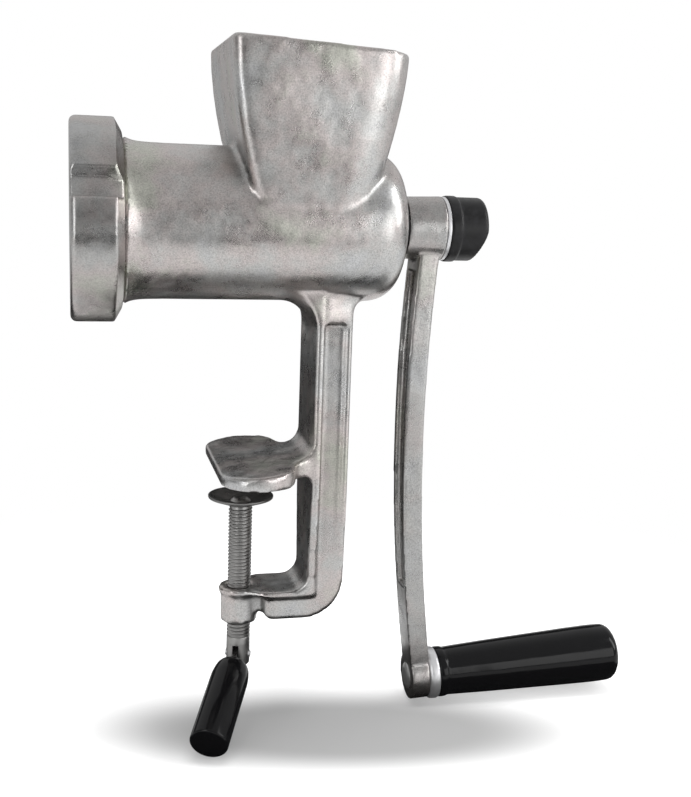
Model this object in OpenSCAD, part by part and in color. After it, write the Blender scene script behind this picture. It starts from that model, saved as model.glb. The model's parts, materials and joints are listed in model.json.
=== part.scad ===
/* [Barrel] */
// Height of the barrel axis above the face that rests on the table
axis_h = 100; // [88:1:125]
// Outer diameter of the barrel
barrel_d = 60; // [56:1:66]
// Bore that the feed screw turns in
barrel_bore = 50.4; // [46:0.2:51]
// Distance from the clamp screw to the front face of the casting
front_reach = 62; // [56:1:75]
// Distance from the clamp screw to the back of the barrel
rear_reach = 61.5; // [58:0.5:70]
// Length of the rounded back of the barrel
dome_len = 12.5; // [8:0.5:14]
// Thickness of the wall behind the feed screw
rear_wall = 13.5; // [11:0.5:16]

/* [Cutting plate] */
// Diameter of the perforated plate
plate_d = 53.5; // [52:0.5:54]
// Thickness of the perforated plate
plate_t = 6; // [5:0.5:8]
// Depth of the seat that the plate drops into
plate_seat = 3.2; // [2:0.2:4]
// Diameter of one hole in the plate
plate_hole_d = 4.5; // [3:0.5:6]
// Number of rings of holes
plate_rings = 3; // [2:1:3]
// Diameter of the bore for the pilot of the pin
pilot_d = 8; // [6:0.5:10]

/* [Ring nut] */
// Outer diameter of the ring nut
nut_d = 78; // [74:1:84]
// Smallest diameter of the thread that carries the nut
thread_root_d = 61; // [58:0.5:63]
// Lead of the thread
nut_pitch = 3; // [2:0.5:4]
// Length of the full diameter of the nut
nut_len = 16.5; // [14:0.5:20]
// Length of the tapered back of the nut
nut_cone = 3; // [2:0.5:5]
// Thickness of the front lip that holds the plate
lip_t = 3.2; // [2.5:0.1:5]
// Bore of the front lip
outlet_d = 46; // [42:1:50]
// Depth of one grip recess
grip_cut = 3; // [1.5:0.1:3.6]
// Number of grip recesses
grip_cuts = 3; // [2:1:6]

/* [Feed screw] */
// Gap between the flight and the bore, on the radius
flight_gap = 0.4; // [0.35:0.05:0.8]
// Diameter of the core of the feed screw
core_d = 22; // [18:1:28]
// Distance between turns of the flight
flight_pitch = 30; // [24:1:40]
// Thickness of the flight
flight_t = 6; // [4:0.5:8]
// Diameter of the journal in the back wall
journal_d = 18; // [16:0.5:20]
// Running clearance of a shaft, on the radius
running = 0.05; // [0.02:0.01:0.1]
// Width of the square that carries the crank
crank_square = 12; // [10:0.5:12.5]
// Width of the square that carries the knife
knife_square = 9; // [8:0.5:10]

/* [Knife] */
// Sweep diameter of the knife
knife_d = 49; // [44:0.5:50]
// Thickness of the blades
blade_t = 5; // [4:0.5:6]
// Width of one blade at its root
blade_w = 11; // [8:0.5:13]
// Diameter of the hub
knife_hub_d = 18; // [15:0.5:22]
// Height of the hub above the blades
knife_hub_h = 3; // [2:0.5:5]

/* [Hopper] */
// Height of the rim above the barrel axis
hopper_h = 69; // [60:1:80]
// Length of the mouth along the barrel
mouth_len = 68.5; // [64:0.5:78]
// Width of the mouth across the barrel
mouth_w = 72; // [64:1:78]
// Length of the throat where it meets the barrel
throat_len = 45; // [38:0.5:50]
// Width of the throat where it meets the barrel
throat_w = 57; // [54:1:58]
// Distance from the clamp screw to the middle of the throat
throat_x = 23.5; // [20:0.25:26]
// Distance from the clamp screw to the middle of the mouth
mouth_x = 23.25; // [20:0.25:25]
// Thickness of the hopper wall
hopper_wall = 4; // [3:0.25:5]
// Radius of the upright corners of the hopper at the front
corner_front = 4; // [3:0.5:9]
// Radius of the upright corners of the hopper at the back
corner_rear = 14; // [6:0.5:16]
// How far the rim falls from its front to its back
rim_drop = 3.5; // [0:0.5:6]

/* [Column] */
// Distance from the clamp screw to the face of the column
column_x = 26.5; // [24:0.5:32]
// Depth of the column
column_depth = 15.7; // [13:0.1:20]
// Width of the front flange of the column
flange_w = 34; // [28:1:36]
// Thickness of the front flange
flange_t = 3.4; // [2.5:0.1:5]
// Width of the web of the column
web_w = 23; // [18:1:25]
// Width of the back bead of the column
bead_w = 27; // [26:1:30]
// Thickness of the back bead
bead_t = 2.6; // [2:0.1:4]
// Radius of the fillet between the barrel and the front of the column
column_fillet = 12.5; // [8:0.5:14]
// Radius of the fillet between the barrel and the back of the column
back_fillet = 6.5; // [4:0.5:8]

/* [Clamp] */
// Opening between the two jaws
clamp_gap = 50; // [42:1:60]
// Length of the upper jaw in front of the clamp screw
jaw_front = 12; // [10:0.5:18]
// Length of the wide part of the upper jaw
jaw_len = 30; // [26:1:34]
// Width of the upper jaw
jaw_w = 76; // [60:1:84]
// Thickness of the upper jaw at its edge
jaw_t = 4.4; // [4:0.1:7]
// Width of the lower arm
arm_w = 26; // [22:1:26]
// Thickness of the lower arm
arm_t = 12.6; // [10:0.2:16]
// Diameter of the boss that holds the clamp screw
boss_d = 15.2; // [14.6:0.2:18]
// Height of the boss
boss_h = 15.4; // [13:0.2:18]
// Radius of the outer corner of the frame
frame_corner = 17; // [12:1:18]

/* [Clamp screw] */
// Outer diameter of the clamp screw
screw_d = 9.8; // [9:0.1:10.4]
// Lead of the clamp screw
screw_pitch = 1.5; // [1.25:0.25:2]
// Length of the clamp screw from its collar to its slotted end
screw_len = 70.2; // [68:0.1:78]
// Depth of the slot in the lower end of the screw
fork_len = 9.6; // [9:0.1:12]
// Distance from the hinge pin to the slotted end
pin_up = 4.8; // [4.6:0.1:5]
// Distance from the upper jaw down to the rim of the pressure cup
cup_drop = 11; // [9:0.5:16]
// Diameter of the pressure cup
cup_d = 27; // [22:0.5:30]
// Height of the pressure cup
cup_h = 2.6; // [2.2:0.2:5]
// Thickness of the pressure cup
cup_t = 1.4; // [1:0.1:2]
// Width of the slot in the end of the screw
slot_w = 2.6; // [2.2:0.1:3]

/* [Folding grip] */
// Diameter of the grip of the clamp screw
lever_d = 15.6; // [15:0.2:17]
// Length of the grip of the clamp screw
lever_len = 43.5; // [38:0.5:55]
// Distance from the pin to the dome of the grip
lever_reach = 6.5; // [6.5:0.1:9]
// Width of the steel tongue
tongue_w = 6.4; // [5.5:0.1:7]
// Diameter of the hinge pin
lever_pin_d = 3; // [2.5:0.1:3.4]
// Angle of the grip below the horizontal
lever_droop = 22; // [0:1:60]
// Angle of the grip to the front of the grinder
lever_turn = 22; // [0:1:90]

/* [Crank] */
// Distance from the barrel axis to the axle of the handle
crank_r = 196; // [160:1:200]
// Diameter of the boss of the crank at the barrel
crank_boss_d = 25.2; // [23:0.2:30]
// Length of the boss of the crank
crank_boss_len = 16; // [14.5:0.5:18]
// Width of the crank arm at the boss
crank_w_top = 17.4; // [14:0.2:20]
// Width of the crank arm at the handle
crank_w_low = 15; // [12:0.2:18]
// Thickness of the crank arm
crank_t = 8.4; // [7:0.2:10]
// Radius that the arm is bowed to
crank_bow = 770; // [600:10:1200]
// Depth of the groove in each broad side of the arm
groove_deep = 2.3; // [1:0.1:2.8]
// Width of the ribs beside the groove
groove_rib = 3; // [2:0.1:4.5]
// Diameter of the eye at the end of the arm
crank_eye_d = 20.8; // [19:0.2:24]
// Length of the eye
crank_eye_len = 8; // [7:0.2:14]

/* [Crank screw] */
// Diameter of the knob of the crank screw
knob_d = 27; // [22:0.2:30]
// Length of the knob
knob_len = 16; // [14:0.5:24]
// Slant of the lower half of the knob's end
knob_slant = 21; // [0:1:26]
// Diameter of the threaded stud
stud_d = 8; // [6:0.5:9]
// Lead of the stud
stud_pitch = 1.25; // [1:0.25:1.5]
// Length of the stud below the knob
stud_len = 26; // [20:1:30]
// Thickness of the washer under the knob
washer_t = 1.6; // [1:0.1:2.5]

/* [Handle] */
// Length of the handle grip
handle_len = 84.5; // [70:0.5:100]
// Angle of the handle above the direction of the barrel
handle_rise = 3; // [0:0.5:5]
// Diameter of the handle at the crank
handle_d1 = 22; // [20:0.5:28]
// Diameter of the handle near its free end
handle_d2 = 25.8; // [22:0.2:32]
// Diameter of the axle
axle_d = 8; // [6:0.5:10]
// Thickness of the bright collar beside the crank
collar_t = 4.6; // [3:0.2:7]
// Diameter of the bright collar
collar_d = 22.6; // [20:0.2:26]

/* [Hidden] */
$fn = 64;
tiny = 0.01;
free = 0.4;
face_gap = 0.1;

barrel_r = barrel_d / 2;
bore_r = barrel_bore / 2;
root_r = thread_root_d / 2;

// Places along the barrel, measured from the clamp screw
plate_back_x = -front_reach + plate_seat;
plate_front_x = plate_back_x - plate_t;
nut_front_x = plate_front_x - lip_t;
nut_land_x = nut_front_x + nut_len;
nut_back_x = nut_land_x + nut_cone;
nut_stand_off = 0.8;
collar_x = nut_back_x + nut_stand_off;
collar_r = root_r + 2;
collar_edge = 1;
collar_land = 1.5;
collar_run = 13;
bore_end_x = rear_reach - rear_wall;
spigot_len = 0.8;
bush_flange_t = 1.7;
bush_flange_x = rear_reach + spigot_len;
crank_x = bush_flange_x + bush_flange_t + 3 * face_gap;
bush_wall = 2;
bush_bore_r = journal_d / 2 + running;
bush_r = bush_bore_r + bush_wall;
bush_flange_r = crank_boss_d / 2 - 0.1;
end_play = 0.3;
knife_back_x = plate_back_x + blade_t + knife_hub_h;
auger_front_x = knife_back_x + end_play;
auger_back_x = bore_end_x - end_play;
thrust_t = 4;

// Aluminium, steel and plastic, as the photograph shows them
cast_grey = [0.66, 0.65, 0.63];
steel_grey = [0.55, 0.55, 0.56];
bright_steel = [0.75, 0.75, 0.76];
black_plastic = [0.06, 0.06, 0.06];

// Turns a solid that stands on Z so that it lies along the barrel
module along_barrel(x, z = axis_h) {
    translate([x, 0, z]) rotate([0, 90, 0]) children();
}

// Square corner less its circle, for an inside fillet between two straight edges
module corner_fillet(r) {
    difference() {
        translate([-tiny, -tiny]) square(r + tiny);
        translate([r, r]) circle(r = r, $fn = 64);
    }
}

// Outline in X and Z, extruded across the grinder and centred on it
module side_plate(w) {
    translate([0, w / 2, 0]) rotate([90, 0, 0]) linear_extrude(w) children();
}

// Hopper: rings of one rounded outline that flares from the throat to the rim
corner_points = 8;
ring_points = 4 * corner_points;
ring_count = 7;
inner_corner = 3;
flare_front = 1.8;
flare_rear = 1.5;
flare_side = 2;
throat_z = axis_h + 6.7;
throat_sink = 9;
rim_z = axis_h + hopper_h;

function flare(t, power) = 1 - pow(1 - t, power);
function mix(a, b, t) = a + (b - a) * t;
function ring_front(t) = mix(throat_x - throat_len / 2, mouth_x - mouth_len / 2, flare(t, flare_front));
function ring_rear(t) = mix(throat_x + throat_len / 2, mouth_x + mouth_len / 2, flare(t, flare_rear));
function ring_half(t) = mix(throat_w, mouth_w, flare(t, flare_side)) / 2;
function ring(t, z, wall) = [
    for (q = [0 : 3]) for (i = [0 : corner_points - 1])
        let (rear = q == 0 || q == 3,
             r = max((rear ? corner_rear : corner_front) - wall, inner_corner),
             a = 90 * (q + i / (corner_points - 1)),
             middle_x = rear ? ring_rear(t) - wall - r : ring_front(t) + wall + r,
             middle_y = (q < 2 ? 1 : -1) * (ring_half(t) - wall - r),
             x = middle_x + r * cos(a))
        [x, middle_y + r * sin(a), z - rim_drop * t * (x - ring_front(1)) / mouth_len]
];

module hopper_loft(wall, lift) {
    low = ring(0, throat_z - throat_sink, wall);
    rings = [for (k = [0 : ring_count]) ring(k / ring_count, mix(throat_z, rim_z, k / ring_count), wall)];
    top = ring(1, rim_z + lift, wall);
    all = lift > 0 ? concat([low], rings, [top]) : concat([low], rings);
    last = len(all) - 1;
    points = [for (r = all) for (p = r) p];
    bottom_face = [for (i = [0 : ring_points - 1]) i];
    top_face = [for (i = [ring_points - 1 : -1 : 0]) last * ring_points + i];
    sides = [
        for (k = [0 : last - 1]) for (i = [0 : ring_points - 1])
            let (j = (i + 1) % ring_points, a = k * ring_points, b = a + ring_points)
            each [[a + i, b + i, b + j], [a + i, b + j, a + j]]
    ];
    polyhedron(points = points, faces = concat([bottom_face, top_face], sides), convexity = 4);
}

// Outside of the barrel from the thread to the rounded back
module barrel_outside() {
    along_barrel(-front_reach) cylinder(r = root_r, h = front_reach + collar_x + 1);
    along_barrel(0) rotate_extrude() difference() {
        polygon([[0, collar_x], [collar_r - collar_edge, collar_x], [collar_r, collar_x + collar_edge],
                 [collar_r, collar_x + collar_edge + collar_land],
                 [barrel_r, collar_x + collar_run], [barrel_r, rear_reach], [0, rear_reach]]);
        translate([barrel_r - dome_len, rear_reach - dome_len]) difference() {
            square(dome_len + 1);
            circle(r = dome_len);
        }
    }
    along_barrel(rear_reach - 1) cylinder(r = crank_boss_d / 2, h = 1 + spigot_len);
}

// Ring of fillet between the barrel and a face that stands across it at x
module barrel_fillet(x, side, r, w) {
    intersection() {
        along_barrel(0) rotate_extrude() difference() {
            translate([barrel_r - 2, side > 0 ? x : x - r]) square([r + 2, r]);
            translate([barrel_r + r, x + side * r]) circle(r = r);
        }
        translate([x - 2 * r, -w / 2, 0]) cube([4 * r, w, axis_h]);
    }
}

// Column: a web between a wide front flange and a back bead, with a rounded lower corner
low_z = -clamp_gap - arm_t;
back_x = column_x + column_depth;
module tapered_strip(x, t, w_high, w_low, high_z, taper_z, end_z, top_z) {
    translate([x, 0, 0]) rotate([90, 0, 90]) linear_extrude(t)
        polygon([[-w_high / 2, top_z], [-w_high / 2, high_z], [-w_low / 2, taper_z], [-w_low / 2, end_z],
                 [w_low / 2, end_z], [w_low / 2, taper_z], [w_high / 2, high_z], [w_high / 2, top_z]]);
}
module column() {
    top_z = axis_h - barrel_r + 8;
    root_z = axis_h - barrel_r - 8;
    taper_top_z = -8;
    side_plate(web_w) difference() {
        translate([column_x, low_z]) square([column_depth, top_z - low_z]);
        translate([back_x - frame_corner, low_z]) difference() {
            translate([0, -1]) square(frame_corner + 1);
            translate([0, frame_corner]) circle(r = frame_corner);
        }
    }
    tapered_strip(column_x, flange_t, flange_w, arm_w, taper_top_z, -clamp_gap, -clamp_gap - rim_t, top_z);
    tapered_strip(back_x - bead_t, bead_t, bead_w, web_w - tiny, taper_top_z, -clamp_gap + 8, -clamp_gap + 6,
                  top_z);
    translate([0, 0, root_z]) linear_extrude(top_z - root_z)
        polygon([[column_x, -flange_w / 2], [back_x, -bead_w / 2], [back_x, bead_w / 2], [column_x, flange_w / 2]]);
    barrel_fillet(column_x, -1, column_fillet, flange_w);
    barrel_fillet(back_x, 1, back_fillet, bead_w);
}

// Wide upper jaw that sits on the table: it thickens towards the column and rises into it
module upper_jaw() {
    corner_r = jaw_len / 2 - 0.5;
    neck_r = 8;
    rise_r = 7;
    under_r = 3;
    end_x = -jaw_front + jaw_len;
    root_t = jaw_t + 3;
    intersection() {
        linear_extrude(2 * root_t) {
            translate([-jaw_front + corner_r, -jaw_w / 2]) square([jaw_len - 2 * corner_r, jaw_w]);
            translate([-jaw_front, -jaw_w / 2 + corner_r]) square([jaw_len, jaw_w - 2 * corner_r]);
            for (x = [-jaw_front + corner_r, end_x - corner_r], s = [-1, 1])
                translate([x, s * (jaw_w / 2 - corner_r)]) circle(r = corner_r);
            translate([0, -flange_w / 2]) square([column_x + flange_t, flange_w]);
            for (s = [-1, 1]) scale([1, s]) translate([end_x, flange_w / 2]) corner_fillet(neck_r);
        }
        side_plate(jaw_w + 2) polygon([[-jaw_front - 1, 0], [-jaw_front - 1, jaw_t], [column_x, root_t],
                                       [back_x, root_t], [back_x, 0]]);
    }
    side_plate(flange_w) translate([column_x, root_t - 0.3]) scale([-1, 1]) corner_fillet(rise_r);
    side_plate(flange_w) translate([column_x, 0]) rotate(180) corner_fillet(under_r);
}

// Lower arm: the front flange runs on as a rim along its top, out to the boss of the clamp screw
rim_t = 2.4;
rim_fillet = 7;
boss_step = 1.2;
module lower_arm() {
    top_z = -clamp_gap;
    head_r = boss_d / 2 + 1;
    arm_x = boss_d / 2 + boss_step;
    edge_r = 4;
    neck_w = boss_d - 4;
    side_plate(arm_w) translate([column_x, top_z]) scale([-1, 1]) corner_fillet(rim_fillet);
    translate([0, 0, top_z - rim_t]) linear_extrude(rim_t) {
        circle(r = head_r);
        polygon([[0, -head_r], [head_r, -arm_w / 2], [column_x + 1, -arm_w / 2],
                 [column_x + 1, arm_w / 2], [head_r, arm_w / 2], [0, head_r]]);
    }
    intersection() {
        side_plate(web_w) {
            translate([arm_x, low_z + edge_r]) square([column_x - arm_x + 1, arm_t - edge_r - tiny]);
            translate([arm_x + edge_r, low_z]) square([column_x - arm_x - edge_r + 1, edge_r]);
            translate([arm_x + edge_r, low_z + edge_r]) circle(r = edge_r);
        }
        translate([0, 0, low_z - 1]) linear_extrude(arm_t + 2) {
            translate([arm_x, -web_w / 2 + edge_r]) square([column_x, web_w - 2 * edge_r]);
            translate([arm_x + edge_r, -web_w / 2]) square([column_x, web_w]);
            for (side = [-1, 1]) translate([arm_x + edge_r, side * (web_w / 2 - edge_r)]) circle(r = edge_r);
        }
    }
    translate([0, -neck_w / 2, low_z + 2]) cube([arm_x + edge_r, neck_w, arm_t - 3]);
    translate([0, 0, top_z - boss_h]) cylinder(d = boss_d, h = boss_h);
}

module body() color(cast_grey) difference() {
    union() {
        barrel_outside();
        hopper_loft(0, 0);
        column();
        upper_jaw();
        lower_arm();
    }
    along_barrel(-front_reach - 1) cylinder(d = plate_d + 2 * free, h = 1 + plate_seat);
    along_barrel(plate_back_x - 1) cylinder(r = bore_r, h = bore_end_x - plate_back_x + 1);
    along_barrel(bore_end_x - 1) cylinder(r = bush_r, h = rear_wall + spigot_len + 2);
    hopper_loft(hopper_wall, 1);
    translate([0, 0, -clamp_gap - boss_h - 1]) cylinder(r = screw_d / 2 + running, h = boss_h + 2);
    along_barrel(-front_reach - 1, key_z) cylinder(d = key_d, h = 1 + plate_seat + key_depth);
}

// Bearing bush of the feed screw, whose flange shows beside the crank
module bush() color(black_plastic) along_barrel(bore_end_x) rotate_extrude()
    polygon([[bush_bore_r, 0], [bush_r, 0], [bush_r, rear_wall + spigot_len],
             [bush_flange_r, rear_wall + spigot_len],
             [bush_flange_r, rear_wall + spigot_len + bush_flange_t],
             [bush_bore_r, rear_wall + spigot_len + bush_flange_t]]);

// Key that stops the plate from turning
key_d = 3;
key_depth = 5;
key_stand = 2.6;
key_z = axis_h - plate_d / 2 + 0.2;
module plate_key() color(steel_grey)
    along_barrel(plate_back_x - key_stand, key_z) cylinder(d = key_d, h = key_stand + key_depth);

// Feed screw: core, flight, thrust shoulder, journal and the square for the crank
flight_r = bore_r - flight_gap;
thrust_r = bore_r - 0.3;
nose_len = 0.6;
flight_len = auger_back_x - thrust_t / 2 - auger_front_x - nose_len;
flight_turns = flight_len / flight_pitch;
boss_end_wall = 3;
square_len = crank_boss_len - boss_end_wall;
stud_bore_depth = stud_len - washer_t - boss_end_wall + 3;
journal_end_x = crank_x - 2 * face_gap;
function arc_points(r, from, to, steps) = [
    for (i = [0 : steps]) let (a = mix(from, to, i / steps)) [r * cos(a), r * sin(a)]
];
module flight() {
    sweep = 360 * flight_t / flight_pitch;
    root_sweep = sweep * 1.25;
    linear_extrude(height = flight_len, twist = -360 * flight_turns,
                   slices = ceil(18 * flight_turns), segments = 12, convexity = 6)
        polygon(concat(arc_points(flight_r, -sweep / 2, sweep / 2, 6),
                       arc_points(core_d / 2 - 1, root_sweep / 2 + 20, -root_sweep / 2 - 20, 4)));
}
module auger() color(cast_grey) difference() {
    union() {
        along_barrel(auger_front_x + nose_len) flight();
        along_barrel(auger_front_x) cylinder(d = core_d, h = auger_back_x - auger_front_x);
        along_barrel(auger_back_x - thrust_t) cylinder(r = thrust_r, h = thrust_t);
        along_barrel(auger_back_x - 1) cylinder(d = journal_d, h = journal_end_x - auger_back_x + 1);
        along_barrel(journal_end_x - 1) translate([-crank_square / 2, -crank_square / 2, 0])
            cube([crank_square, crank_square, square_len + 1 + crank_x - journal_end_x]);
    }
    along_barrel(crank_x + square_len - stud_bore_depth)
        cylinder(r = stud_d / 2 + running, h = stud_bore_depth + 1);
    along_barrel(auger_front_x - 1) cylinder(d = pin_shank_d, h = pin_shank_len + 1);
}

// Steel pin pressed into the front of the feed screw: a square for the knife and a round pilot
pin_shank_d = 9;
pin_shank_len = 18;
module auger_pin() color(steel_grey) {
    along_barrel(auger_front_x) cylinder(d = pin_shank_d, h = pin_shank_len);
    along_barrel(plate_back_x + face_gap) translate([-knife_square / 2, -knife_square / 2, 0])
        cube([knife_square, knife_square, auger_front_x - plate_back_x - face_gap]);
    along_barrel(plate_front_x + 0.2) cylinder(d = pilot_d, h = plate_t);
}

// Four-armed knife, flat against the plate; each blade is hollowed on its trailing side
hollow_r = 18;
hollow_deep = 0.3;
module blade() difference() {
    translate([0, -blade_w / 2]) square([knife_d, blade_w]);
    translate([0.62 * knife_d, hollow_deep + hollow_r]) circle(r = hollow_r);
}
module knife() color(steel_grey) along_barrel(plate_back_x + face_gap) difference() {
    union() {
        linear_extrude(blade_t - face_gap) intersection() {
            circle(d = knife_d);
            for (k = [0 : 3]) rotate(90 * k + 45) blade();
        }
        cylinder(d = knife_hub_d, h = blade_t + knife_hub_h - face_gap);
    }
    translate([-knife_square / 2 - running, -knife_square / 2 - running, -1])
        cube([knife_square + 2 * running, knife_square + 2 * running, blade_t + knife_hub_h + 2]);
}

// Perforated plate with its notch for the key
ring_step = (plate_d / 2 - 5.2 - pilot_d / 2 - plate_hole_d / 2) / plate_rings;
module plate() color(steel_grey) along_barrel(plate_front_x) linear_extrude(plate_t, convexity = 10)
    difference() {
        circle(d = plate_d);
        circle(r = pilot_d / 2 + running);
        for (k = [1 : plate_rings]) {
            r = pilot_d / 2 + 0.6 + k * ring_step;
            count = floor(2 * PI * r / (plate_hole_d + 1.9));
            for (i = [0 : count - 1]) rotate(360 * i / count) translate([r, 0]) circle(d = plate_hole_d, $fn = 32);
        }
        translate([plate_d / 2, 0]) square([2 * (key_d / 2 + 0.2 + free), key_d + 2 * free], center = true);
    }

// Ring nut: revolved ring with grip recesses cut into its rim
nut_r = nut_d / 2;
nut_round = 2.4;
nut_end = nut_len + nut_cone;
cone_r = root_r + 3.2;
recess_floor_arc = 11.5;
recess_ramp_arc = 5.5;
recess_wall_arc = 1;
recess_low = 19;
recess_slope = 3.9;
function on_circle(r, a) = [r * cos(a), r * sin(a)];
module grip_recess() {
    floor_r = nut_r - grip_cut;
    high = recess_low + recess_floor_arc;
    intersection() {
        rotate([0, 0, 90]) translate([0, 0, -1]) linear_extrude(nut_end + 2)
            polygon([on_circle(cone_r - 3, recess_low), on_circle(floor_r, recess_low),
                     on_circle(nut_r + 0.3, recess_low - recess_ramp_arc),
                     on_circle(1.4 * nut_r, recess_low - recess_ramp_arc),
                     on_circle(1.4 * nut_r, high + recess_wall_arc), on_circle(cone_r - 3, high)]);
        rotate_extrude()
            polygon([[floor_r, -1], [1.3 * nut_r, -1], [1.3 * nut_r, nut_end + 1],
                     [cone_r + 1, nut_end + 1], [cone_r + 1, nut_end], [floor_r, nut_len - recess_slope]]);
    }
}
module ring_nut() color(cast_grey) difference() {
    along_barrel(nut_front_x) rotate_extrude() difference() {
        polygon([[0, 0], [nut_r, 0], [nut_r, nut_len], [cone_r, nut_end], [0, nut_end]]);
        translate([-1, -1]) square([outlet_d / 2 + 1, nut_end + 2]);
        translate([-1, lip_t]) square([root_r + running + 1, nut_end]);
        translate([nut_r - nut_round, nut_round]) difference() {
            translate([0, -nut_round - 1]) square(nut_round + 1);
            circle(r = nut_round);
        }
    }
    for (k = [0 : grip_cuts - 1])
        along_barrel(nut_front_x) rotate([0, 0, 360 * k / grip_cuts]) grip_recess();
}

// Turns a solid that stands on Z so that it lies along the axle of the handle, s from the face of the eye
module along_handle(s) {
    translate([eye_x, 0, eye_z]) rotate([0, 90 - handle_rise, 0]) translate([0, 0, s]) children();
}

// Crank: tapered boss, bowed arm and eye for the handle axle
crank_bow_x = crank_x + 7;
crank_bow_drop = 78;
crank_bow_z = axis_h - crank_bow_drop;
arm_reach = 40;
eye_z = axis_h - crank_r;
eye_x = crank_x + 11.2;
module arm_sides() {
    rotate([90, 0, 90]) translate([0, 0, crank_x - arm_reach / 2]) linear_extrude(1.5 * arm_reach)
        polygon([[-crank_w_top / 2, axis_h], [crank_w_top / 2, axis_h],
                 [crank_w_low / 2, eye_z], [-crank_w_low / 2, eye_z]]);
}
groove_top = axis_h - crank_boss_d / 2 - 5;
groove_low = eye_z + 43;
module arm_groove(side) intersection() {
    face_r = crank_bow + side * crank_t / 2;
    side_plate(arm_reach) translate([crank_bow_x + crank_bow, crank_bow_z]) difference() {
        circle(r = face_r + (side > 0 ? 2 : groove_deep), $fn = 720);
        circle(r = face_r - (side > 0 ? groove_deep : 2), $fn = 720);
    }
    rotate([90, 0, 90]) translate([0, 0, crank_x - arm_reach / 2]) linear_extrude(1.5 * arm_reach)
        polygon([[-crank_w_top / 2 + groove_rib, groove_top], [crank_w_top / 2 - groove_rib, groove_top],
                 [crank_w_low / 2 - groove_rib, groove_low], [-crank_w_low / 2 + groove_rib, groove_low]]);
}
module crank() color(cast_grey) difference() {
    union() {
        along_barrel(crank_x) cylinder(d1 = crank_boss_d, d2 = crank_boss_d + 1, h = crank_boss_len);
        intersection() {
            side_plate(arm_reach) translate([crank_bow_x + crank_bow, crank_bow_z]) difference() {
                circle(r = crank_bow + crank_t / 2, $fn = 720);
                circle(r = crank_bow - crank_t / 2, $fn = 720);
            }
            arm_sides();
        }
        along_handle(0) cylinder(d = crank_eye_d, h = crank_eye_len);
    }
    along_barrel(crank_x - 1) translate([-crank_square / 2 - running, -crank_square / 2 - running, 0])
        cube([crank_square + 2 * running, crank_square + 2 * running, square_len + 1 + end_play]);
    along_barrel(crank_x) cylinder(r = stud_d / 2 + free, h = crank_boss_len + 1);
    along_handle(-1) cylinder(d = axle_d, h = crank_eye_len + 2);
    along_handle(crank_eye_len) cylinder(d = collar_d + 2 * free, h = collar_t);
    for (side = [-1, 1]) arm_groove(side);
}

washer_x = crank_x + crank_boss_len;
module crank_washer() color(bright_steel) along_barrel(washer_x) difference() {
    cylinder(d = crank_boss_d + 0.8, h = washer_t);
    translate([0, 0, -1]) cylinder(r = stud_d / 2 + free, h = washer_t + 2);
}

// Crank screw: steel stud with a hexagonal head moulded into the knob
knob_x = washer_x + washer_t + face_gap;
stud_head_t = 5;
stud_head_af = 13;
knob_lip_len = 4;
knob_step = 0.5;
knob_round = 2.2;
module crank_screw_stud() color(bright_steel) {
    along_barrel(knob_x - stud_len) cylinder(d = stud_d, h = stud_len + 1);
    along_barrel(knob_x + 1) cylinder(d = stud_head_af, h = stud_head_t, $fn = 6);
}
module crank_screw_knob() color(black_plastic) difference() {
    along_barrel(knob_x) rotate_extrude() union() {
        square([knob_d / 2, knob_lip_len]);
        square([knob_d / 2 - knob_step, knob_len - knob_round]);
        square([knob_d / 2 - knob_step - knob_round, knob_len]);
        translate([knob_d / 2 - knob_step - knob_round, knob_len - knob_round]) intersection() {
            circle(r = knob_round);
            square(knob_round + 1);
        }
    }
    along_barrel(knob_x - 1) cylinder(d = stud_d, h = 3);
    along_barrel(knob_x + 1) cylinder(d = stud_head_af, h = stud_head_t, $fn = 6);
    translate([knob_x + knob_len, 0, axis_h]) rotate([0, knob_slant, 0])
        translate([0, -knob_d, -2 * knob_d]) cube([knob_d, 2 * knob_d, 2 * knob_d]);
}

// Handle: riveted axle, bright collar, turning grip and the washer in its end
collar_s = crank_eye_len;
handle_s = collar_s + collar_t + 2 * face_gap;
grip_round = 5;
end_recess = 6;
axle_head_d = 11;
axle_head_t = 2;
end_washer_t = 1;
washer_seat_s = handle_s + handle_len - end_recess + 2 * face_gap;
head_s = washer_seat_s + end_washer_t;
rivet_stand = 1.2;
module grip_axle() color(steel_grey) {
    along_handle(0) cylinder(d = axle_d, h = head_s);
    along_handle(head_s) cylinder(d = axle_head_d, h = axle_head_t);
    along_handle(-rivet_stand) cylinder(d1 = axle_d + 1, d2 = axle_d + 3.4, h = rivet_stand);
}
module grip_collar() color(bright_steel) along_handle(collar_s) difference() {
    cylinder(d1 = collar_d - 0.8, d2 = collar_d, h = collar_t);
    translate([0, 0, -1]) cylinder(d = axle_d, h = collar_t + 2);
}
module grip() color(black_plastic) along_handle(handle_s) difference() {
    rotate_extrude() difference() {
        polygon([[axle_d / 2 + running, 0], [handle_d1 / 2 - 0.6, 0], [handle_d1 / 2, 0.6], [handle_d1 / 2, 3],
                 [handle_d1 / 2 - 0.5, 4.2], [mix(handle_d1, handle_d2, 0.56) / 2, handle_len * 0.5],
                 [handle_d2 / 2, handle_len * 0.85], [handle_d2 / 2, handle_len], [axle_d / 2 + running, handle_len]]);
        translate([handle_d2 / 2 - grip_round, handle_len - grip_round]) difference() {
            square(grip_round + 1);
            circle(r = grip_round);
        }
    }
    translate([0, 0, handle_len - end_recess]) cylinder(d = axle_head_d + 3, h = end_recess + 1);
}
module grip_end_washer() color(bright_steel) along_handle(washer_seat_s) difference() {
    cylinder(d = axle_head_d + 1.6, h = end_washer_t);
    translate([0, 0, -1]) cylinder(d = axle_d, h = end_washer_t + 2);
}

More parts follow.
